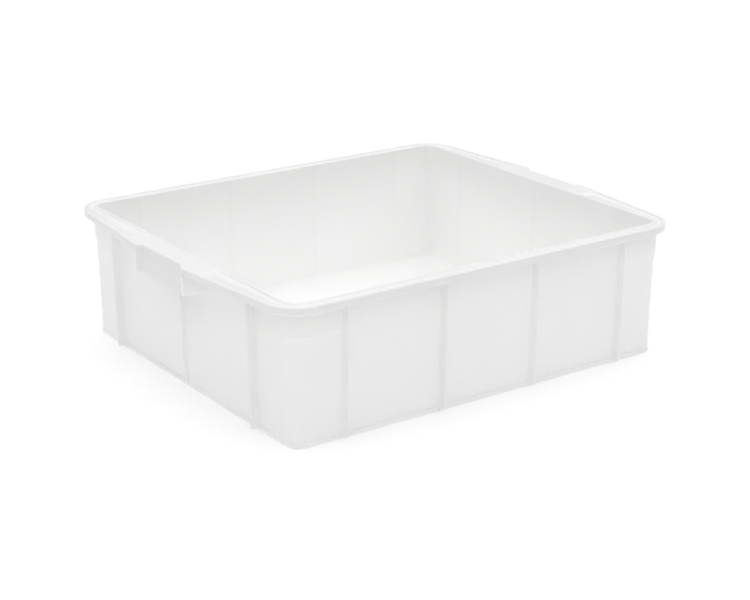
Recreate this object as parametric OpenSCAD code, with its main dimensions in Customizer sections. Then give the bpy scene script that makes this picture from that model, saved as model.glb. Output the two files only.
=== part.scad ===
// Low stacking crate, one moulding in natural plastic, drawn as its separate features.
// Frame: +Z up, origin under the middle of the crate on the plane that it stands on.
// X runs along the long sides, the handles are on the two short sides.

/* [Overall size] */
// Length over the rim, from one handle side to the other
crate_l = 600; // [560:5:640]
// Width over the rim
crate_w = 500; // [460:5:540]
// Height from the foot ring to the top of the rim
crate_h = 170; // [150:5:220]

/* [Walls and floor] */
// Thickness of the walls at the foot, from where they thicken up to the rim
wall_t = 3; // [2.5:0.5:4]
// Thickness of the floor
floor_t = 3.5; // [3:0.5:5]
// How far each wall leans out from foot to rim
draft = 3.5; // [2:0.5:5]
// Outside radius of the wall corners at the top
corner_r = 18; // [16:1:24]
// How far the rim stands out from the long walls
long_reach = 13; // [12:0.5:15]
// How far the rim stands out from the short walls at the corners
short_reach = 16.5; // [15:0.5:18]

/* [Foot ring] */
// Height of the ring that the crate stands on
ring_h = 7; // [5:0.5:9]
// How far the ring stands out from the walls
ring_proud = 1.2; // [1:0.2:2]
// Radius along the ring's lower outside edge
ring_r = 2; // [1.5:0.5:3]
// Width of the ring
ring_w = 7; // [6:0.5:9]

/* [Rim] */
// Thickness of the rim's flat top
deck_t = 3; // [2.5:0.5:4]
// Depth of the skirt that hangs from the rim's outside edge
skirt_h = 10; // [8:0.5:14]
// Thickness of the skirt
skirt_t = 3; // [2.5:0.5:3.5]
// Outside radius of the rim's corners
rim_r = 42; // [38:1:46]
// Depth of the channel that runs along the rim's top
channel_d = 1.6; // [0.8:0.2:2]
// Width of the lip outside the channel
lip_w = 4.5; // [4:0.5:6]
// Width of the bead inside the channel
bead_w = 4.5; // [4:0.5:6]
// How far inside the wall's outside face the rim's inside edge lies, the wall's thickness there
rim_inside = 5; // [4:0.5:6]
// Angle at which the short sides of the rim run out towards the handle
bow_angle = 5.2; // [4:0.2:6]

/* [Shell handles] */
// Clear width of the handle's face between its cheeks
handle_w = 108; // [100:2:130]
// Depth of the face from the rim's top
handle_h = 34.5; // [28:0.5:38]
// How far the face's top lies behind the rim's furthest edge
handle_inset = 7; // [6:0.5:9]
// How far its lower edge lies behind that edge
handle_inset_low = 2; // [1:0.5:4]
// Length of the flat pad over the handle, where the channel stops
pad_l = 172; // [150:2:200]

/* [Wall ribs] */
// Spacing of the four ribs on each long wall
long_pitch = 134; // [120:2:140]
// Spacing of the three ribs on each short wall
short_pitch = 160; // [150:2:166]
// Thickness of a rib
rib_t = 3; // [2:0.5:4]
// How far the ribs stand out from the long walls
rib_long_d = 9.6; // [7:0.2:9.6]
// How far the outer ribs stand out from the short walls
rib_short_d = 11; // [8:0.5:12]
// How far the rib under the handle stands out
rib_mid_d = 5; // [4:0.5:8]
// Height of the ribs' lower ends, beside the foot ring
rib_low = 3.5; // [3:0.5:4.5]

/* [Corner shoulders] */
// How far below the skirt the thicker band round each corner reaches
shoulder_drop = 33; // [25:1:45]
// How far that band stands out from the wall
shoulder_t = 1.5; // [1:0.25:2.5]

/* [Hidden] */
$fn = 96;
plastic = "#eeeeec";
half_l = crate_l / 2;
half_w = crate_w / 2;
deck_top = crate_h - channel_d;            // the bottom of the rim's channel
deck_low = deck_top - deck_t;              // the rim's underside, where the walls end
skirt_low = crate_h - skirt_h;
bow_t = tan(bow_angle);
notch_y = handle_w / 2;                    // where the rim steps back to the handle's face
grip_x = half_l - handle_inset;            // the top and the foot of the handle's face
grip_low_x = half_l - handle_inset_low;

// Middle of the rim's corner arc, and where that arc runs into the bowed short side
rim_cy = half_w - rim_r;
bow_y = rim_cy + rim_r * sin(bow_angle);
bow_x = half_l - (bow_y - notch_y) * bow_t;
rim_cx = bow_x - rim_r * cos(bow_angle);

// Outside faces of the walls, at the height of the origin and at the top
wall_x = rim_cx + rim_r - short_reach - draft;
wall_y = half_w - long_reach - draft;
foot_r = corner_r - draft;
post_x = wall_x - foot_r;                  // middle of the wall's corner arc
post_y = wall_y - foot_r;
open_x = wall_x + draft - rim_inside;      // the rim's inside edge
open_y = wall_y + draft - rim_inside;
open_r = corner_r - rim_inside;
shoulder_low = skirt_low - shoulder_drop;
handle_low = crate_h - handle_h;

long_ribs = [for (i = [-1.5:1:1.5]) i * long_pitch];
CORNERS = [
  ["front_left", -1, -1],
  ["front_right", 1, -1],
  ["back_left", -1, 1],
  ["back_right", 1, 1]
];

// ---- helpers ----

// Everything is drawn in the quarter where X and Y are positive and mirrored from there
module placed(side_x, side_y) {
  color(plastic)
    mirror([side_x < 0 ? 1 : 0, 0, 0])
      mirror([0, side_y < 0 ? 1 : 0, 0])
        children();
}

// A section drawn as (distance out from the middle, height), run along X or along Y
module along_x(from, to) {
  translate([from, 0, 0]) rotate([90, 0, 90]) linear_extrude(to - from) children();
}

module along_y(from, to) {
  translate([0, to, 0]) rotate([90, 0, 0]) linear_extrude(to - from) children();
}

// The outside of a wall whose face starts at foot, at height z
function leaned(foot, z) = foot + draft * z / crate_h;

// The inside of the same wall
function lined(foot, z) = leaned(foot, z) - wall_t - (rim_inside - wall_t) * z / crate_h;

module wall_section(foot) {
  polygon([
    [lined(foot, ring_h), ring_h],
    [leaned(foot, ring_h), ring_h],
    [leaned(foot, deck_low), deck_low],
    [lined(foot, deck_low), deck_low]
  ]);
}

// A strip that stands out from a wall by depth, from the height low to the height high
module leaned_strip(foot, depth, low, high) {
  polygon([
    [leaned(foot, low), low],
    [leaned(foot, low) + depth, low],
    [leaned(foot, high) + depth, high],
    [leaned(foot, high), high]
  ]);
}

// ---- floor and foot ----

module rounded_plan(half_x, half_y, r) {
  for (sx = [-1, 1], sy = [-1, 1])
    translate([sx * (half_x - r), sy * (half_y - r)]) circle(r);
  square([2 * (half_x - r), 2 * half_y], center = true);
  square([2 * half_x, 2 * (half_y - r)], center = true);
}

module floor_panel() {
  inset = ring_w - ring_proud;
  color(plastic)
    translate([0, 0, ring_h - floor_t])
      linear_extrude(floor_t)
        rounded_plan(wall_x - inset, wall_y - inset, foot_r - inset);
}

module ring_section(foot) {
  outside = foot + ring_proud;
  translate([outside - ring_w, 0]) square([ring_w - ring_r, ring_h]);
  translate([outside - ring_r, ring_r]) square([ring_r, ring_h - ring_r]);
  translate([outside - ring_r, ring_r]) circle(ring_r);
}

module foot_ring() {
  for (sx = [-1, 1], sy = [-1, 1])
    placed(sx, sy) {
      along_x(0, post_x) ring_section(wall_y);
      along_y(0, post_y) ring_section(wall_x);
      translate([post_x, post_y, 0]) rotate_extrude(angle = 90) ring_section(foot_r);
    }
}

// ---- walls and corners ----

module wall_long(side_y) {
  placed(1, side_y)
    along_x(-post_x, post_x) wall_section(wall_y);
}

module wall_short(side_x) {
  placed(side_x, 1)
    along_y(-post_y, post_y) wall_section(wall_x);
}

module corner(side_x, side_y) {
  placed(side_x, side_y)
    translate([post_x, post_y, 0])
      rotate_extrude(angle = 90) wall_section(foot_r);
}

// The thicker band round a corner, from the last rib of one wall to that of the next
module shoulder(side_x, side_y) {
  placed(side_x, side_y) {
    along_x(1.5 * long_pitch + rib_t / 2, post_x)
      leaned_strip(wall_y, shoulder_t, shoulder_low, deck_low);
    along_y(short_pitch + rib_t / 2, post_y)
      leaned_strip(wall_x, shoulder_t, shoulder_low, deck_low);
    translate([post_x, post_y, 0])
      rotate_extrude(angle = 90) leaned_strip(foot_r, shoulder_t, shoulder_low, deck_low);
  }
}

// ---- ribs ----

// A rib stands on the wall, and its lower end on the outside of the foot ring
module rib_section(foot, depth, high) {
  polygon([
    [foot + ring_proud, rib_low],
    [leaned(foot, rib_low) + depth, rib_low],
    [leaned(foot, high) + depth, high],
    [leaned(foot, high), high],
    [leaned(foot, ring_h), ring_h],
    [foot + ring_proud, ring_h]
  ]);
}

module rib_long(i, side_y) {
  at = long_ribs[i];
  placed(1, side_y)
    along_x(at - rib_t / 2, at + rib_t / 2) rib_section(wall_y, rib_long_d, deck_low);
}

module rib_short(side_x, side_y) {
  placed(side_x, side_y)
    along_y(short_pitch - rib_t / 2, short_pitch + rib_t / 2)
      rib_section(wall_x, rib_short_d, deck_low);
}

// The middle rib of a short wall stops below the handle
module rib_middle(side_x) {
  placed(side_x, 1)
    along_y(-rib_t / 2, rib_t / 2) rib_section(wall_x, rib_mid_d, handle_low);
}

// ---- rim ----

// The rim's outline in plan, drawn in by inset all round; the step is where the handle is
module rim_plan(inset) {
  r = rim_r - inset;
  edge = half_l - inset / cos(bow_angle);
  grip = grip_x - inset;
  polygon([
    [0, 0], [0, half_w - inset], [rim_cx, half_w - inset],
    [rim_cx, rim_cy],
    [rim_cx + r * cos(bow_angle), rim_cy + r * sin(bow_angle)],
    [edge, notch_y], [grip, notch_y], [grip, 0]
  ]);
  translate([rim_cx, rim_cy]) circle(r);
}

module opening_plan(grow) {
  rounded_plan(open_x + grow, open_y + grow, open_r + grow);
}

// The channel lies between the lip and the bead, and stops short of the handle
module channel_plan() {
  intersection() {
    difference() {
      rim_plan(lip_w);
      opening_plan(bead_w);
    }
    union() {
      square([post_x, half_w]);
      translate([0, pad_l / 2]) square([half_l, half_w]);
    }
  }
}

// The rim's top with its channel, cut to the stretch that low_x..high_y holds
module deck(low_x, low_y, high_x, high_y) {
  module stretch() {
    translate([low_x, low_y]) square([high_x - low_x, high_y - low_y]);
  }
  translate([0, 0, deck_low])
    linear_extrude(deck_t)
      intersection() {
        difference() {
          rim_plan(skirt_t);
          opening_plan(0);
        }
        stretch();
      }
  translate([0, 0, deck_top])
    linear_extrude(channel_d)
      intersection() {
        difference() {
          rim_plan(skirt_t);
          opening_plan(0);
          channel_plan();
        }
        stretch();
      }
}

module rim_long(side_y) {
  for (sx = [-1, 1]) placed(sx, side_y) deck(0, 0, post_x, half_w);
}

module rim_short(side_x) {
  for (sy = [-1, 1]) placed(side_x, sy) deck(0, 0, half_l, post_y);
}

module rim_corner(side_x, side_y) {
  placed(side_x, side_y) deck(post_x, post_y, half_l, half_w);
}

// The quarter round along the rim's outside top edge
module rounded_edge(outside) {
  translate([outside - skirt_t, crate_h - skirt_t])
    intersection() {
      circle(skirt_t);
      square(skirt_t);
    }
}

// The skirt's section, with its outside face at the distance outside
module skirt_section(outside) {
  translate([outside - skirt_t, skirt_low]) square([skirt_t, skirt_h - skirt_t]);
  rounded_edge(outside);
}

module skirt_long(side_y) {
  placed(1, side_y) along_x(-rim_cx, rim_cx) skirt_section(half_w);
}

module skirt_corner(side_x, side_y) {
  placed(side_x, side_y)
    translate([rim_cx, rim_cy, 0])
      rotate([0, 0, bow_angle])
        rotate_extrude(angle = 90 - bow_angle) skirt_section(rim_r);
}

// The bowed skirt from the corner arc to the handle, cut square where the handle starts
module skirt_short(side_x, side_y) {
  run = (bow_y - notch_y) / cos(bow_angle);
  placed(side_x, side_y)
    intersection() {
      translate([rim_cx, rim_cy, 0])
        rotate([0, 0, bow_angle])
          along_y(-run - skirt_t, 0) skirt_section(rim_r);
      translate([0, notch_y, 0]) cube([crate_l, crate_w, 2 * crate_h]);
    }
}

// ---- handles ----

// The face leans out towards its lower edge
module handle_face(side_x) {
  bend = crate_h - skirt_t;
  placed(side_x, 1)
    along_y(-notch_y, notch_y) {
      rounded_edge(grip_x);
      polygon([
        [grip_x - skirt_t, bend],
        [grip_low_x - skirt_t, handle_low],
        [grip_low_x, handle_low],
        [grip_x, bend]
      ]);
    }
}

// A cheek closes the handle's end, and behind the skirt it closes the skirt's end too
module handle_cheek(side_x, side_y) {
  cheek_x = half_l - skirt_t * bow_t;
  placed(side_x, side_y)
    intersection() {
      along_y(notch_y, notch_y + skirt_t)
        polygon([
          [leaned(wall_x, handle_low), handle_low],
          [cheek_x, handle_low],
          [cheek_x, deck_low],
          [leaned(wall_x, deck_low), deck_low]
        ]);
      union() {
        cube([crate_l, crate_w, skirt_low]);
        linear_extrude(crate_h) rim_plan(skirt_t);
      }
    }
}

// ---- drawing ----

floor_panel();
foot_ring();
wall_long(-1);  // wall_front
wall_long(1);  // wall_back
wall_short(-1);  // wall_left
wall_short(1);  // wall_right
rib_middle(-1);  // rib_left_middle
rib_middle(1);  // rib_right_middle
rim_long(-1);  // rim_front
rim_long(1);  // rim_back
rim_short(-1);  // rim_left
rim_short(1);  // rim_right
skirt_long(-1);  // skirt_front
skirt_long(1);  // skirt_back
handle_face(-1);  // handle_face_left
handle_face(1);  // handle_face_right
for (i = [0:3]) {
  rib_long(i, -1);
  rib_long(i, 1);
}
for (c = CORNERS) {
  corner(c[1], c[2]);
  shoulder(c[1], c[2]);
  rim_corner(c[1], c[2]);
  skirt_corner(c[1], c[2]);
}
for (sx = [-1, 1], sy = [-1, 1]) {
  place = str(sx < 0 ? "left" : "right", "_", sy < 0 ? "front" : "back");
  rib_short(sx, sy);
  skirt_short(sx, sy);
  handle_cheek(sx, sy);
}
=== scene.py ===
import math

import bmesh
import bpy
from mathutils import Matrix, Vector


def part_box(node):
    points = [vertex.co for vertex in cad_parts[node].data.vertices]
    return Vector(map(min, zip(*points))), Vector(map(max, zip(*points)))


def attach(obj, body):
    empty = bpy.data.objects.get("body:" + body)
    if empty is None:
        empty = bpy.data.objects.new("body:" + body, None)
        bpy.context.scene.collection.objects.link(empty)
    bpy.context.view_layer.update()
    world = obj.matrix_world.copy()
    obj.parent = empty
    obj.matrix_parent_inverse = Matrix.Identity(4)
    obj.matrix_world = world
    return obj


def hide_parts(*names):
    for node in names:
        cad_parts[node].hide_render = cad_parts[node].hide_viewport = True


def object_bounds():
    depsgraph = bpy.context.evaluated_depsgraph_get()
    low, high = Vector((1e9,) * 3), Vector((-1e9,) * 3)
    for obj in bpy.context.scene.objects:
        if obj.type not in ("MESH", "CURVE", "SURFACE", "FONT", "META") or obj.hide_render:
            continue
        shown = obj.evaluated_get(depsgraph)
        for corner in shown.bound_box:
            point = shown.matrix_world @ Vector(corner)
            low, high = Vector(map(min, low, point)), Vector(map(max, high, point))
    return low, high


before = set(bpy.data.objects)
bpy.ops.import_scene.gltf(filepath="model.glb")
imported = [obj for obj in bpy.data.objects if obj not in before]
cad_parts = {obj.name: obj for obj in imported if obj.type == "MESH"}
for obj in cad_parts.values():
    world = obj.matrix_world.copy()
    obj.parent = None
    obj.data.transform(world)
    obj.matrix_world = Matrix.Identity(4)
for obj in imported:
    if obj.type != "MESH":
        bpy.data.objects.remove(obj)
CAD_BOX = [list(corner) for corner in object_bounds()]

bl_info = {
    "name": "Stacking Crate",
    "version": (1, 0, 0),
    "blender": (4, 5, 0),
    "location": "View3D > Sidebar > Crate",
    "description": "Builds a low stacking crate in natural plastic round its CAD frame",
    "category": "Add Mesh",
}

MM = 0.001
HUB = 2 * MM  # distance from the spine to the edge of the floor's flat middle
RING_WIDTH = 7 * MM  # width of the foot ring from its outside to its inside
SHOULDER_STEPS = (2.6, 1.8, 1.1, 0.5, 0)  # mm above its foot at which a shoulder is drawn
HANDLE_PLATE = 3 * MM  # thickness of a handle's face
HANDLE_FLARE = 8 * MM  # length over which a handle's face runs out to the rim's edge
CHEEK_ROUND = 1.2 * MM  # radius at the lower outside edge of a handle's cheek
TURN_LENGTH = 12 * MM  # length over which the skirt beside a handle turns to the bowed rim
CHANNEL_END = 2.5 * MM  # length over which the channel rises to the pad over a handle
HAIR = 0.02 * MM  # gap between two sections that stand at the same place
MERGE = 0.002 * MM  # distance below which two points of a mesh are one

CLOUD_SCALE = 9.0  # clouds in the colour, per metre
SAG_SCALE = 14.0  # slow waves in the walls, per metre
SKIN_SCALE = 900.0  # grains in the skin, per metre
SCRATCH_SCALE = (60.0, 60.0, 420.0)  # scratches per metre along X, Y and Z
CLOUD_DARK = 0.975  # share of the plastic's colour where it is cloudy
CLOUD_PALE = 1.015  # the same where it is clear
SCUFF_DARK = 0.86  # the same where it is scuffed

FLOOR_HALF = 20  # metres from the middle of the studio floor to its edge
SENSOR_WIDTH = 36  # width of the camera's sensor in mm
LIGHT_BOUNCES = 24  # most bounces of light in all
DIFFUSE_BOUNCES = 16  # most bounces off dull surfaces, many because they are nearly white


# ---- settings ----


class CrateShape(bpy.types.PropertyGroup):
    """Radii and small widths of the moulding, beside the sizes that the frame gives."""

    rim_radius: bpy.props.FloatProperty(
        name="Rim corner radius",
        description="Outside radius of the rim's corners",
        default=42 * MM,
        unit="LENGTH",
    )
    bow_angle: bpy.props.FloatProperty(
        name="Bow angle",
        description="Angle at which the short sides of the rim run out to the handle",
        default=math.radians(5.2),
        subtype="ANGLE",
    )
    edge_round: bpy.props.FloatProperty(
        name="Outside edge round",
        description="Radius along the outside top edge of the rim and the handles",
        default=1.2 * MM,
        unit="LENGTH",
    )
    mouth_round: bpy.props.FloatProperty(
        name="Mouth round",
        description="Radius along the inside edge of the rim",
        default=1.6 * MM,
        unit="LENGTH",
    )
    skirt_wall: bpy.props.FloatProperty(
        name="Skirt thickness",
        description="Thickness of the skirt that hangs from the rim",
        default=2.6 * MM,
        unit="LENGTH",
    )
    lip_width: bpy.props.FloatProperty(
        name="Lip width",
        description="Width of the lip outside the rim's channel",
        default=4.5 * MM,
        unit="LENGTH",
    )
    bead_width: bpy.props.FloatProperty(
        name="Bead width",
        description="Width of the bead inside the rim's channel",
        default=4.5 * MM,
        unit="LENGTH",
    )
    channel_depth: bpy.props.FloatProperty(
        name="Channel depth",
        description="Depth of the channel along the rim's top",
        default=1.6 * MM,
        unit="LENGTH",
    )
    pad_length: bpy.props.FloatProperty(
        name="Pad length",
        description="Length of the flat pad over a handle, where the channel stops",
        default=172 * MM,
        unit="LENGTH",
    )
    floor_fillet: bpy.props.FloatProperty(
        name="Floor fillet",
        description="Radius between the floor and the inside of the walls",
        default=8 * MM,
        unit="LENGTH",
    )
    rib_fillet: bpy.props.FloatProperty(
        name="Rib fillet",
        description="Radius at the root of the upright ribs",
        default=4.5 * MM,
        unit="LENGTH",
    )


class CrateFinish(bpy.types.PropertyGroup):
    """Colour and surface of the natural plastic, with the strength of its painted shade."""

    colour: bpy.props.FloatVectorProperty(
        name="Plastic colour",
        description="Colour of the natural, uncoloured plastic",
        subtype="COLOR",
        default=(0.985, 0.985, 0.981),
        min=0.0,
        max=1.0,
    )
    milkiness: bpy.props.FloatProperty(
        name="Milkiness",
        description="Share of the light that is scattered inside the plastic",
        default=0.5,
        subtype="FACTOR",
        min=0.0,
        max=1.0,
    )
    milk_depth: bpy.props.FloatProperty(
        name="Milk depth",
        description="How far light travels in the plastic before it is scattered",
        default=5 * MM,
        unit="LENGTH",
    )
    # painted shade: how much darker the skirt and the handles are painted, where no light comes through
    # from inside
    painted_rim_shade: bpy.props.FloatProperty(
        name="Rim shade",
        description="How much greyer the skirt and the handles are, where no light comes through",
        default=0.13,
        subtype="FACTOR",
        min=0.0,
        max=1.0,
    )
    # painted shade: how much darker the walls are painted in bands at the ribs, standing for the ribs'
    # shadow through the wall
    painted_rib_shade: bpy.props.FloatProperty(
        name="Rib shade",
        description="How much greyer the walls are where a rib stands behind them",
        default=0.02,
        subtype="FACTOR",
        min=0.0,
        max=1.0,
    )
    scuff_height: bpy.props.FloatProperty(
        name="Scuff height",
        description="Height above the foot up to which the plastic is scuffed",
        default=7 * MM,
        unit="LENGTH",
    )
    roughness: bpy.props.FloatProperty(
        name="Roughness",
        description="Roughness of the plastic as moulded",
        default=0.38,
        subtype="FACTOR",
        min=0.0,
        max=1.0,
    )


class StudioSettings(bpy.types.PropertyGroup):
    """The plain studio that the crate stands in."""

    floor_colour: bpy.props.FloatVectorProperty(
        name="Floor colour",
        description="Colour of the floor",
        subtype="COLOR",
        default=(0.95, 0.95, 0.95),
        min=0.0,
        max=1.0,
    )
    sky_light: bpy.props.FloatProperty(
        name="Sky light",
        description="Strength of the light from high in the sky",
        default=1.25,
    )
    side_light: bpy.props.FloatProperty(
        name="Side light",
        description="Strength of the light from low in the sky",
        default=0.05,
    )
    floor_glow: bpy.props.FloatProperty(
        name="Floor glow",
        description="Light that the floor gives off itself, so that it is white",
        default=0.14,
    )
    dark_below: bpy.props.FloatProperty(
        name="Dark below",
        description="Sine of the height in the sky below which only the side light is left",
        default=0.25,
    )
    bright_above: bpy.props.FloatProperty(
        name="Bright above",
        description="Sine of the height in the sky above which the sky has its full strength",
        default=0.65,
    )
    camera_place: bpy.props.FloatVectorProperty(
        name="Camera place",
        description="Where the camera stands",
        subtype="XYZ",
        unit="LENGTH",
        default=(-1.19697, -1.70763, 0.78842),
    )
    camera_tilt: bpy.props.FloatProperty(
        name="Camera tilt",
        description="How far the camera looks down from level",
        default=math.radians(19.381),
        subtype="ANGLE",
    )
    camera_turn: bpy.props.FloatProperty(
        name="Camera turn",
        description="How far the camera is turned clockwise from +Y, seen from above",
        default=math.radians(35.16),
        subtype="ANGLE",
    )
    lens: bpy.props.FloatProperty(
        name="Lens",
        description="Focal length of the camera on a 36 mm wide sensor",
        default=83.85,
        subtype="DISTANCE_CAMERA",
    )


# ---- sizes from the frame ----


def reach(node, axis):
    """How far a CAD node reaches from the middle along an axis."""
    return max(abs(corner[axis]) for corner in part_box(node))


def near(node, axis):
    """How near a CAD node on one side of the middle comes to it along an axis."""
    return min(abs(corner[axis]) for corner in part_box(node))


class Plan:
    """The crate's sizes in metres, for the quarter where X and Y are positive.

    Points of the walls and the rim are laid out from a spine, the line through the middles
    of the wall's corner arcs: a station is a point on it and the direction straight outwards.
    """

    def __init__(self, shape):
        self.half_l, self.half_w, self.top = CAD_BOX[1]
        self.ring_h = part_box("foot_ring")[1].z
        self.deck_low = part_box("wall_front")[1].z
        self.skirt_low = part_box("skirt_front")[0].z
        self.post = Vector((reach("wall_front", 0), reach("wall_left", 1)))
        self.foot_r = near("rib_front_1", 1) - self.post.y
        self.wall_r = reach("wall_front", 1) - self.post.y
        self.lined_r = near("wall_front", 1) - self.post.y
        self.mouth_r = near("rim_front", 1) - self.post.y
        self.ring_r = reach("foot_ring", 1) - self.post.y
        self.notch_y = reach("handle_face_left", 1)
        self.cheek_y = reach("handle_cheek_left_front", 1)
        self.handle_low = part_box("handle_face_left")[0].z
        self.grip_low_x = reach("handle_face_left", 0)
        self.rib_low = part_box("rib_front_1")[0].z
        self.shoulder_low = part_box("shoulder_back_right")[0].z
        self.shoulder_proud = reach("shoulder_back_right", 1) - reach("wall_back", 1)
        self.bow = shape.bow_angle
        self.rim_r = shape.rim_radius
        self.bow_out = Vector((math.cos(self.bow), math.sin(self.bow)))
        self.rim_mid = Vector((0, self.half_w - self.rim_r))
        self.bow_y = self.rim_mid.y + self.rim_r * self.bow_out.y
        self.rim_mid.x = self.bowed_x(self.bow_y) - self.rim_r * self.bow_out.x

        fillet = shape.rib_fillet
        self.long_ribs = [Rib(self, name, 0, fillet) for name in ("rib_back_3", "rib_back_4")]
        self.short_ribs = [
            Rib(self, name, 1, fillet) for name in ("rib_right_middle", "rib_right_back")
        ]

    def bowed_x(self, y):
        """The rim's outside edge on a short side, at a distance y from the middle."""
        return self.half_l - (y - self.notch_y) * math.tan(self.bow)

    def face_r(self, z):
        """Distance from the spine to the outside of a wall at height z."""
        share = (z - self.ring_h) / (self.deck_low - self.ring_h)
        return self.foot_r + (self.wall_r - self.foot_r) * share

    def inner_r(self, z):
        """Distance from the spine to the inside of a wall at height z."""
        share = (z - self.ring_h) / (self.top - self.ring_h)
        return self.lined_r + (self.mouth_r - self.lined_r) * share

    def rim_edge(self, centre, out):
        """Where a station meets the rim's outside edge, and which way that edge faces."""
        if out.x > 0:
            corner = Vector((self.half_l, self.notch_y))
            hit = centre + out * ((corner - centre).dot(self.bow_out) / out.dot(self.bow_out))
            if hit.y <= self.bow_y:
                return hit, self.bow_out
        if out.y > 0:
            hit = centre + out * ((self.half_w - centre.y) / out.y)
            if hit.x <= self.rim_mid.x:
                return hit, Vector((0, 1))
        away = centre - self.rim_mid
        b = away.dot(out)
        hit = centre + out * (math.sqrt(b * b - away.dot(away) + self.rim_r**2) - b)
        return hit, (hit - self.rim_mid) / self.rim_r


class Rib:
    """One upright rib: a thin fin on a wall, rounded at its tip and filleted at its root."""

    def __init__(self, plan, node, across, fillet):
        low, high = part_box(node)
        out = 1 - across
        self.place = max(0.0, round((low[across] + high[across]) / 2, 5))
        self.top = high.z
        self.half = (high[across] - low[across]) / 2
        self.depth = high[out] - plan.post[out] - plan.face_r(high.z)
        self.fillet = min(fillet, 0.6 * self.depth)
        self.tip = 0.8 * self.half  # half of its width where the rounding of its tip starts
        self.point = 0.9 * self.tip  # radius of that rounding

    def offsets(self):
        """Distances from the rib's middle at which its outline is drawn."""
        turns = [math.radians(a) for a in (0, 20, 40, 60, 75, 90)]
        root = [self.half + self.fillet * (1 - math.sin(a)) for a in turns]
        tip = [self.tip - self.point * (1 - math.cos(a)) for a in turns[:1] + turns[2:]]
        return root + tip

    def height(self, away):
        """How far the rib stands off the wall at a distance from its middle."""
        root = self.half + self.fillet
        if away >= root:
            return 0.0
        if away >= self.half:
            return self.fillet - math.sqrt(max(0.0, self.fillet**2 - (root - away) ** 2))
        crown = self.depth - self.point
        if away >= self.tip:
            share = (self.half - away) / (self.half - self.tip)
            return self.fillet + (crown - self.fillet) * share
        round_in = max(0.0, away - (self.tip - self.point))
        return crown + math.sqrt(max(0.0, self.point**2 - round_in**2))

    def standing(self, away, z, deck):
        """The same at height z, with the rounded top of a rib that stops short of the deck."""
        if z > self.top:
            return 0.0
        turn = 2.5 * MM
        share = min(1.0, (self.top - z) / turn) if self.top < deck else 1.0
        return self.height(away) * math.sqrt(max(0.0, 1 - (1 - share) ** 2))


# ---- curves and meshes ----


def spread(start, end, steps):
    """Evenly spaced numbers from start to end, both included."""
    return [start + (end - start) * i / steps for i in range(steps + 1)]


def eased(start, end, steps):
    """Numbers from start to end that lie closer together towards both ends."""
    return [start + (end - start) * t * t * (3 - 2 * t) for t in spread(0, 1, steps)]


def smooth(t):
    """0 below 0, 1 above 1, and an even S between them."""
    t = min(max(t, 0.0), 1.0)
    return t * t * (3 - 2 * t)


def arc(x, z, radius, start, end, steps):
    """Points on an arc round (x, z), with the angles in degrees."""
    return [
        (x + radius * math.cos(math.radians(a)), z + radius * math.sin(math.radians(a)))
        for a in spread(start, end, steps)
    ]


def tidy(bm):
    """Merges points that fall together and turns every face outwards."""
    bmesh.ops.remove_doubles(bm, verts=bm.verts, dist=MERGE)
    bmesh.ops.dissolve_degenerate(bm, edges=bm.edges, dist=MERGE)
    bmesh.ops.recalc_face_normals(bm, faces=bm.faces)


def finish_piece(name, bm, nodes, material, crease=35):
    """Turns a mesh into a named piece of the crate that stands for its CAD nodes."""
    mesh = bpy.data.meshes.new(name)
    bm.to_mesh(mesh)
    bm.free()
    mesh.shade_smooth()
    mesh.set_sharp_from_angle(angle=math.radians(crease))
    mesh.materials.append(material)
    piece = bpy.data.objects.new(name, mesh)
    bpy.context.scene.collection.objects.link(piece)
    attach(piece, "root")
    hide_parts(*nodes)
    return piece


def mirrored(points, side):
    """The same points in another quarter of the crate."""
    return [Vector((p[0] * side[0], p[1] * side[1], p[2])) for p in points]


def ring_at(station, profile):
    """A profile of (distance from the spine, height) set up at a station."""
    centre, out = station
    return [(*(centre + out * r), z) for r, z in profile]


def stations_long(plan, places):
    """Stations along the wall of a long side."""
    return [(Vector((x, plan.post.y)), Vector((0, 1))) for x in places]


def stations_short(plan, places):
    """Stations along the wall of a short side."""
    return [(Vector((plan.post.x, y)), Vector((1, 0))) for y in places]


def stations_corner(plan, steps=28):
    """Stations that turn round a corner, from a long side to a short one."""
    return [
        (plan.post, Vector((math.cos(a), math.sin(a)))) for a in eased(math.pi / 2, 0, steps)
    ]


# ---- the plastic ----


def add_node(tree, kind, **inputs):
    """A node with its sockets set; a socket's name is written with _ for each space."""
    node = tree.nodes.new(kind)
    for name, value in inputs.items():
        node.inputs[name.replace("_", " ")].default_value = value
    return node


def noise_of(tree, place, scale, detail, rough=0.5):
    """Noise from 0 to 1 at a place."""
    node = add_node(tree, "ShaderNodeTexNoise", Scale=scale, Detail=detail, Roughness=rough)
    tree.links.new(place, node.inputs["Vector"])
    return node.outputs["Fac"]


def remap(tree, value, low, high, to_low, to_high):
    """A value's share of the way from low to high, laid out from to_low to to_high."""
    node = add_node(tree, "ShaderNodeMapRange")
    for socket, number in zip(node.inputs[1:5], (low, high, to_low, to_high)):
        socket.default_value = number
    tree.links.new(value, node.inputs["Value"])
    return node.outputs["Result"]


def bump(tree, height, strength, distance, normal=None):
    """The surface's direction with a height added, on top of another bump if one is given."""
    node = add_node(tree, "ShaderNodeBump", Strength=strength, Distance=distance)
    tree.links.new(height, node.inputs["Height"])
    if normal:
        tree.links.new(normal, node.inputs["Normal"])
    return node.outputs["Normal"]


def calc(tree, operation, *values):
    """A math node; each value is a number or the output of another node."""
    node = tree.nodes.new("ShaderNodeMath")
    node.operation = operation
    for socket, value in zip(node.inputs, values):
        if isinstance(value, (int, float)):
            socket.default_value = value
        else:
            tree.links.new(value, socket)
    return node.outputs["Value"]


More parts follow.
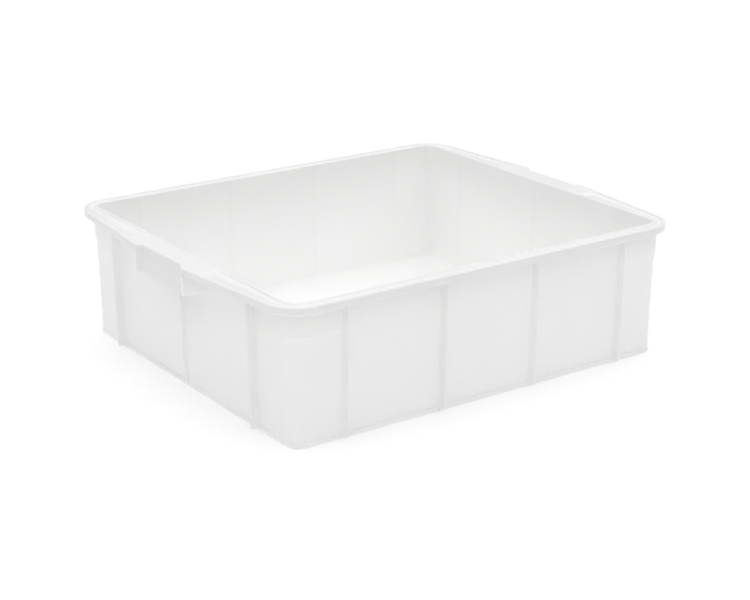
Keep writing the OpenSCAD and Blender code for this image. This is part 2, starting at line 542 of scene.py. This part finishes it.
def blend(tree, share, one, two):
    """The colour a share of the way from one to two; each is a colour or a node's output."""
    node = tree.nodes.new("ShaderNodeMixRGB")
    tree.links.new(share, node.inputs["Fac"])
    for name, colour in (("Color1", one), ("Color2", two)):
        if isinstance(colour, tuple):
            node.inputs[name].default_value = (*colour, 1)
        else:
            tree.links.new(colour, node.inputs[name])
    return node.outputs["Color"]


def painted_shade(tree, apart, plan, finish):
    """Share of painted shade that darkens the plastic: along the skirt and the handles, where no light
    comes through from inside, and in bands at the ribs, as their shadow through the wall.
    """
    x = calc(tree, "ABSOLUTE", apart.outputs["X"])
    y = calc(tree, "ABSOLUTE", apart.outputs["Y"])
    z = apart.outputs["Z"]
    mouth = plan.post + Vector((plan.mouth_r, plan.mouth_r))

    # the skirt: painted shade on all that lies well beyond the mouth and above the skirt's foot
    start, full = 4 * MM, 7 * MM
    beyond = calc(
        tree,
        "MAXIMUM",
        remap(tree, x, mouth.x + start, mouth.x + full, 0.0, 1.0),
        remap(tree, y, mouth.y + start, mouth.y + full, 0.0, 1.0),
    )
    skirt = remap(tree, z, plan.skirt_low - MM, plan.skirt_low, 0.0, 1.0)
    skirt = calc(tree, "MULTIPLY", skirt, beyond)

    # the handles: painted shade from the inside of a handle's face outwards, between its two ends
    face_x = near("handle_face_left", 0) - MM
    handle = calc(
        tree,
        "MULTIPLY",
        remap(tree, x, face_x - 2 * MM, face_x, 0.0, 1.0),
        remap(tree, y, plan.notch_y - 0.5 * MM, plan.notch_y + 0.5 * MM, 1.0, 0.0),
    )

    # neither of them reaches the rim's top
    below_top = remap(tree, z, plan.top - 2.4 * MM, plan.top - 1.2 * MM, 1.0, 0.0)
    rim = calc(tree, "MULTIPLY", calc(tree, "MAXIMUM", skirt, handle), below_top)

    # the ribs: an upright band of painted shade at each of them, standing for their shadow through the
    # wall
    at_ribs = []
    for along, across, ribs, wall in (
        (x, y, plan.long_ribs, plan.post.y),
        (y, x, plan.short_ribs, plan.post.x),
    ):
        near_rib, far_rib = (rib.place for rib in ribs)
        middle, half = (near_rib + far_rib) / 2, (far_rib - near_rib) / 2
        away = calc(tree, "ABSOLUTE", calc(tree, "SUBTRACT", along, middle))
        away = calc(tree, "ABSOLUTE", calc(tree, "SUBTRACT", away, half))
        band = remap(tree, away, 1.5 * MM, 6 * MM, 1.0, 0.0)
        on_wall = remap(tree, across, wall, wall + 4 * MM, 0.0, 1.0)
        at_ribs.append(calc(tree, "MULTIPLY", band, on_wall))
    ribs = calc(tree, "MAXIMUM", *at_ribs)
    shades = (
        calc(tree, "MULTIPLY", rim, finish.painted_rim_shade),
        calc(tree, "MULTIPLY", ribs, finish.painted_rib_shade),
    )
    return calc(tree, "MAXIMUM", *shades)


def natural_plastic(plan):
    """Milky moulded plastic: faint clouds in its colour, a satin skin, scuffs near the foot, and
    painted shade on the skirt, the handles and at the ribs.
    """
    finish = bpy.context.scene.crate_finish
    material = bpy.data.materials.new("crate_plastic")
    material.use_nodes = True
    tree = material.node_tree
    tree.nodes.clear()
    links = tree.links
    place = tree.nodes.new("ShaderNodeTexCoord").outputs["Object"]
    apart = tree.nodes.new("ShaderNodeSeparateXYZ")
    links.new(place, apart.inputs["Vector"])
    stroke = add_node(tree, "ShaderNodeMapping", Scale=SCRATCH_SCALE)
    links.new(place, stroke.inputs["Vector"])

    clouds = noise_of(tree, place, CLOUD_SCALE, 3.0)
    skin = noise_of(tree, place, SKIN_SCALE, 2.0, 0.6)
    sag = noise_of(tree, place, SAG_SCALE, 1.0)
    scratches = noise_of(tree, stroke.outputs["Vector"], 1.0, 4.0, 0.7)
    low_down = remap(tree, apart.outputs["Z"], 0.0, finish.scuff_height, 1.0, 0.0)
    worn = calc(tree, "MULTIPLY", low_down, remap(tree, scratches, 0.52, 0.72, 0.0, 1.0))

    cloudy = tuple(c * CLOUD_DARK for c in finish.colour)
    clear = tuple(min(1.0, c * CLOUD_PALE) for c in finish.colour)
    scuffed = tuple(c * SCUFF_DARK for c in finish.colour)
    colour = blend(tree, remap(tree, clouds, 0.3, 0.7, 0.0, 1.0), cloudy, clear)
    colour = blend(tree, worn, colour, scuffed)
    # painted shade: the colour is darkened towards black along the skirt, the handles and the bands at
    # the ribs
    colour = blend(tree, painted_shade(tree, apart, plan, finish), colour, (0.0, 0.0, 0.0))

    glossy, matt = finish.roughness - 0.05, finish.roughness + 0.07
    rough = remap(tree, clouds, 0.3, 0.7, glossy, matt)
    rough = calc(tree, "ADD", rough, remap(tree, worn, 0.0, 1.0, 0.0, 0.2))

    normal = bump(tree, sag, 0.25, 1.5 * MM)
    normal = bump(tree, skin, 0.12, 0.08 * MM, normal)
    normal = bump(tree, worn, 0.1, 0.1 * MM, normal)

    body = add_node(tree, "ShaderNodeBsdfPrincipled", IOR=1.5)
    body.inputs["Specular IOR Level"].default_value = 0.35
    links.new(colour, body.inputs["Base Color"])
    links.new(rough, body.inputs["Roughness"])
    links.new(normal, body.inputs["Normal"])
    body.inputs["Subsurface Weight"].default_value = finish.milkiness
    body.inputs["Subsurface Radius"].default_value = (1.0, 1.0, 0.95)
    body.inputs["Subsurface Scale"].default_value = finish.milk_depth
    output = tree.nodes.new("ShaderNodeOutputMaterial")
    links.new(body.outputs["BSDF"], output.inputs["Surface"])
    return material


# ---- pieces ----


def shell_inside(plan, shape, depth):
    """From the middle of the floor up the inside of the wall, over the bead, into the channel."""
    r, mouth, top = shape.floor_fillet, shape.mouth_round, plan.top
    inside = plan.inner_r(plan.ring_h + r)
    points = [(HUB, plan.ring_h)]
    points += arc(inside - r, plan.ring_h + r, r, -90, 0, 8)
    points += [(plan.inner_r(z), z) for z in spread(plan.ring_h + r, top - 3 * MM, 6)[1:]]
    points += arc(plan.mouth_r + mouth, top - mouth, mouth, 180, 90, 5)
    points += channel_side(plan.mouth_r + shape.bead_width, top, depth, shape.channel_depth)
    return points


def channel_side(x, top, depth, full):
    """One side of the channel, from the ridge at x down to its bed."""
    soft = 0.4 * MM
    slope = 0.4 * full
    return [
        (x - soft, top),
        (x, top - 0.1 * depth),
        (x + slope, top - 0.9 * depth),
        (x + slope + soft, top - depth),
    ]


def shell_edge(plan, shape, depth):
    """From the channel's bed over the lip to the outside edge, as (distance in from it, height)."""
    r = shape.edge_round
    points = channel_side(shape.lip_width, plan.top, depth, shape.channel_depth)[::-1]
    points += [(r - x, z) for x, z in arc(0, plan.top - r, r, 90, 0, 6)]
    return points


def hanging(plan, shape, low, thick, lean=0.0, cut=0.0):
    """The plate that hangs from the outside edge: down its face, round its foot and up inside."""
    turn = thick / 2
    root = 2 * MM
    start = plan.top - shape.edge_round
    end = low + turn + cut

    def away(z):
        return -lean * (start - z) / (start - end) + (cut if z < plan.skirt_low else 0.0)

    heights = [start + (end - start) * t for t in (0.15, 0.3, 0.6, 0.85)]
    if cut or low < plan.skirt_low:
        heights = [plan.skirt_low + MM, plan.skirt_low - 0.1 * MM, low + 12 * MM, low + 6 * MM]
    points = [(away(z), z) for z in heights]
    foot = away(end)
    points += [(foot + turn - x, z) for x, z in arc(0, end, turn, 0, -180, 8)]
    points += [(thick + root - x, z) for x, z in arc(0, plan.deck_low - root, root, 0, 90, 4)]
    return points


def wall_heights(plan):
    """Heights of the points down the outside of a wall; the first ones lie above a handle's foot."""
    high = spread(plan.deck_low, plan.handle_low, 3)
    low = [plan.handle_low - step * MM for step in (0.3, 0.9, 1.7, 2.5)]
    low += [plan.shoulder_low + step * MM for step in SHOULDER_STEPS]
    low += spread(plan.shoulder_low, plan.ring_h, 6)[1:]
    return high, low


def wall_face(plan, station, heights):
    """Points down the outside of a wall, out over its ribs and its corner's shoulder."""
    centre, out = station
    on_long, on_short = out.x == 0, out.y == 0
    along = centre.x if on_long else centre.y
    ribs = plan.long_ribs if on_long else plan.short_ribs if on_short else []
    shouldered = not ribs or along > ribs[-1].place
    points = []
    for z in heights:
        proud = 0.0
        if shouldered:
            rise = SHOULDER_STEPS[0] * MM
            proud = plan.shoulder_proud * smooth((z - plan.shoulder_low) / rise)
        for rib in ribs:
            proud = max(proud, rib.standing(abs(along - rib.place), z, plan.deck_low))
        points.append((plan.face_r(z) + proud, z))
    return points


def shell_foot(plan, station):
    """From the foot of the wall round the foot ring and back in under the floor."""
    outer, high = plan.ring_r, plan.ring_h
    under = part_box("floor_panel")[0].z
    ledge = 0.5 * MM  # radius of the ring's top edge
    sole = 2.8 * MM  # radius of its lower outside edge
    toe = 1.0 * MM  # radius of its lower inside edge
    hollow = 1.5 * MM  # radius of the corner between the ring and the floor's underside
    inner = outer - RING_WIDTH
    tip = wall_face(plan, station, [high])[0][0]
    points = [(max(r, tip), z) for r, z in arc(outer - ledge, high - ledge, ledge, 90, 0, 4)]
    if tip > outer:
        turn = min(2 * MM, tip - outer)
        points = [(tip, high)]
        points += arc(tip - turn, plan.rib_low + turn, turn, 0, -90, 2)
        points += [(outer, plan.rib_low)]
    points += arc(outer - sole, sole, sole, 0, -90, 8)
    points += arc(inner + toe, toe, toe, -90, -180, 4)
    points += arc(inner - hollow, under - hollow, hollow, 0, 90, 4)
    points.append((HUB, under))
    return points


def shell_ring(plan, shape, station, depth):
    """The shell's whole section at a station beside the handles."""
    centre, out = station
    edge, faces = plan.rim_edge(centre, out)
    if out.y == 0:
        turned = smooth((centre.y - plan.cheek_y) / TURN_LENGTH)
        faces = Vector((1, 0)).lerp(faces, turned)
    high, low = wall_heights(plan)
    points = ring_at(station, shell_inside(plan, shape, depth))
    outer = shell_edge(plan, shape, depth)
    outer += hanging(plan, shape, plan.skirt_low, shape.skirt_wall)
    points += [(*(edge - faces * away), z) for away, z in outer]
    points += ring_at(station, wall_face(plan, station, high + low))
    points += ring_at(station, shell_foot(plan, station))
    return points


def handle_ring(plan, shape, y, filled):
    """The shell's section through a handle; filled is the cheek that closes the handle's end."""
    station = (Vector((plan.post.x, y)), Vector((1, 0)))
    flare = smooth((y - (plan.notch_y - HANDLE_FLARE)) / HANDLE_FLARE)
    edge = plan.bowed_x(y) if y > plan.notch_y else plan.half_l
    grip = near("handle_face_left", 0) + HANDLE_PLATE
    grip_x = grip + (edge - grip) * flare
    low_x = plan.grip_low_x + (edge - plan.grip_low_x) * flare
    over = max(0.0, y - (plan.cheek_y - CHEEK_ROUND))
    cut = CHEEK_ROUND - math.sqrt(CHEEK_ROUND**2 - over**2)
    high, low = wall_heights(plan)
    plate = hanging(plan, shape, plan.handle_low, HANDLE_PLATE, low_x - grip_x, cut)
    walls = [(grip_x - plan.post.x - plan.face_r(z), z) for z in high]
    if filled:
        plate, walls = cheek(plan, plate, walls, cut)
    points = ring_at(station, shell_inside(plan, shape, 0.0))
    outer = shell_edge(plan, shape, 0.0) + plate + walls
    points += [(grip_x - away, y, z) for away, z in outer]
    points += ring_at(station, wall_face(plan, station, low))
    points += ring_at(station, shell_foot(plan, station))
    return points


def cheek(plan, plate, walls, cut):
    """Fills the hollow behind a handle: every point past the foot's lowest goes to its underside."""
    foot = 8  # the last of the plate's points on the outer half of its foot
    start = plate[foot][0]
    end = walls[-1][0]
    low = plan.handle_low + cut
    near_plate = spread(0.02, 0.2, len(plate) - foot - 2)
    near_wall = spread(0.9, 1.0, len(walls) - 1)
    beneath = [(start + (end - start) * t, low) for t in near_plate + near_wall]
    count = len(plate) - foot - 1
    return plate[: foot + 1] + beneath[:count], beneath[count:]


def with_ribs(places, ribs):
    """Places along a wall, with those of its ribs' outlines put in and the ones they cover left out."""
    start, end = places[0], places[-1]
    outlines = []
    for rib in ribs:
        root = rib.half + rib.fillet
        places = [p for p in places if abs(p - rib.place) > root + MM or p in (start, end)]
        outlines += [rib.place + side * away for away in rib.offsets() for side in (-1, 1)]
        outlines.append(rib.place)
    found = [p for p in outlines if start <= p <= end]
    return sorted(set(places + found))


class CRATE_OT_shell(bpy.types.Operator):
    """The shell in one piece: floor, foot ring, walls, corners, rim, skirt and handles"""

    bl_idname = "crate.shell"
    bl_label = "Shell"

    def execute(self, context):
        shape = context.scene.crate_shape
        plan = Plan(shape)
        depth = shape.channel_depth
        pad = shape.pad_length / 2
        long_places = spread(0, plan.rim_mid.x, 8)[:-1] + spread(plan.rim_mid.x, plan.post.x, 4)
        long_places = with_ribs(long_places, plan.long_ribs)
        path = stations_long(plan, long_places[:-1]) + stations_corner(plan)
        quarter = [shell_ring(plan, shape, station, depth) for station in path]
        edge, notch = plan.cheek_y, plan.notch_y
        places = eased(edge + HAIR, pad - 2 * MM, 7) + spread(pad, pad + CHANNEL_END, 5)
        places += spread(pad + 2 * CHANNEL_END, plan.bow_y, 8)[:-1]
        places = with_ribs(places + spread(plan.bow_y, plan.post.y, 4), plan.short_ribs)
        for station in stations_short(plan, places[-2::-1]):
            sunk = depth * smooth((station[0].y - pad) / CHANNEL_END)
            quarter.append(shell_ring(plan, shape, station, sunk))
        turns = [math.radians(a) for a in (90, 70, 45, 20)]
        turned = [edge - CHEEK_ROUND * (1 - math.sin(a)) for a in turns]
        filled = turned + spread(edge - CHEEK_ROUND, notch, 3)
        quarter += [handle_ring(plan, shape, y, True) for y in filled]
        hollow = spread(0, notch - HANDLE_FLARE, 5)
        hollow += spread(notch - HANDLE_FLARE + MM, notch - HAIR, 7)
        hollow = with_ribs(hollow, plan.short_ribs[:1])
        quarter += [handle_ring(plan, shape, y, False) for y in hollow[::-1]]

        rings = []
        for side, turn in (((1, 1), 1), ((1, -1), -1), ((-1, -1), 1), ((-1, 1), -1)):
            rings += [mirrored(ring, side) for ring in quarter[::turn][:-1]]
        finish_piece("moulding", loft(rings), sorted(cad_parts), natural_plastic(plan))
        return {"FINISHED"}


def loft(rings):
    """A mesh that runs round through open profiles, with a flat face over each of its two ends."""
    bm = bmesh.new()
    rows = [[bm.verts.new(p) for p in ring] for ring in rings]
    for one, two in zip(rows, rows[1:] + rows[:1]):
        for i in range(len(one) - 1):
            bm.faces.new((one[i], one[i + 1], two[i + 1], two[i]))
    bm.faces.new([row[0] for row in rows])
    bm.faces.new([row[-1] for row in rows])
    tidy(bm)
    return bm


# ---- studio ----


class CRATE_OT_studio(bpy.types.Operator):
    """Pale floor, soft light from above and the camera"""

    bl_idname = "crate.studio"
    bl_label = "Studio"

    def execute(self, context):
        settings = context.scene.crate_studio
        scene = context.scene
        scene.view_settings.view_transform = "Standard"
        scene.cycles.max_bounces = LIGHT_BOUNCES
        scene.cycles.diffuse_bounces = DIFFUSE_BOUNCES
        self.make_floor(scene, settings)
        self.make_sky(scene, settings)
        self.make_camera(scene, settings)
        return {"FINISHED"}

    def make_floor(self, scene, settings):
        bm = bmesh.new()
        bmesh.ops.create_grid(bm, x_segments=1, y_segments=1, size=FLOOR_HALF)
        mesh = bpy.data.meshes.new("studio_floor")
        bm.to_mesh(mesh)
        bm.free()
        material = bpy.data.materials.new("studio_floor")
        material.use_nodes = True
        shader = material.node_tree.nodes["Principled BSDF"]
        shader.inputs["Base Color"].default_value = (*settings.floor_colour, 1)
        shader.inputs["Roughness"].default_value = 0.9
        shader.inputs["Specular IOR Level"].default_value = 0.1
        shader.inputs["Emission Color"].default_value = (1, 1, 1, 1)
        shader.inputs["Emission Strength"].default_value = settings.floor_glow
        mesh.materials.append(material)
        floor = bpy.data.objects.new("studio_floor", mesh)
        scene.collection.objects.link(floor)

    def make_sky(self, scene, settings):
        world = bpy.data.worlds.new("studio")
        scene.world = world
        world.use_nodes = True
        tree = world.node_tree
        place = tree.nodes.new("ShaderNodeTexCoord").outputs["Generated"]
        apart = tree.nodes.new("ShaderNodeSeparateXYZ")
        tree.links.new(place, apart.inputs["Vector"])
        strength = remap(
            tree,
            apart.outputs["Z"],
            settings.dark_below,
            settings.bright_above,
            settings.side_light,
            settings.sky_light,
        )
        tree.links.new(strength, tree.nodes["Background"].inputs["Strength"])
        tree.nodes["Background"].inputs["Color"].default_value = (1, 1, 1, 1)

    def make_camera(self, scene, settings):
        data = bpy.data.cameras.new("camera")
        data.lens = settings.lens
        data.sensor_width = SENSOR_WIDTH
        camera = bpy.data.objects.new("camera", data)
        scene.collection.objects.link(camera)
        camera.rotation_mode = "XYZ"
        camera.location = settings.camera_place
        camera.rotation_euler = (math.pi / 2 - settings.camera_tilt, 0, -settings.camera_turn)
        scene.camera = camera


# ---- panel and registration ----


class CRATE_PT_panel(bpy.types.Panel):
    """Lists the steps that build the crate and the settings that they use"""

    bl_idname = "CRATE_PT_panel"
    bl_label = "Stacking Crate"
    bl_space_type = "VIEW_3D"
    bl_region_type = "UI"
    bl_category = "Crate"

    def draw(self, context):
        for step in STEPS:
            self.layout.operator(step.bl_idname)
        scene = context.scene
        for group in (scene.crate_shape, scene.crate_finish, scene.crate_studio):
            box = self.layout.box()
            for name in group.__annotations__:
                box.prop(group, name)


STEPS = (
    CRATE_OT_shell,
    CRATE_OT_studio,
)
CLASSES = (CrateShape, CrateFinish, StudioSettings, *STEPS, CRATE_PT_panel)


def register():
    for cls in CLASSES:
        bpy.utils.register_class(cls)
    bpy.types.Scene.crate_shape = bpy.props.PointerProperty(type=CrateShape)
    bpy.types.Scene.crate_finish = bpy.props.PointerProperty(type=CrateFinish)
    bpy.types.Scene.crate_studio = bpy.props.PointerProperty(type=StudioSettings)


def unregister():
    del bpy.types.Scene.crate_studio
    del bpy.types.Scene.crate_finish
    del bpy.types.Scene.crate_shape
    for cls in reversed(CLASSES):
        bpy.utils.unregister_class(cls)


def main():
    register()
    bpy.ops.crate.shell()
    bpy.ops.crate.studio()


if __name__ == "__main__":
    main()
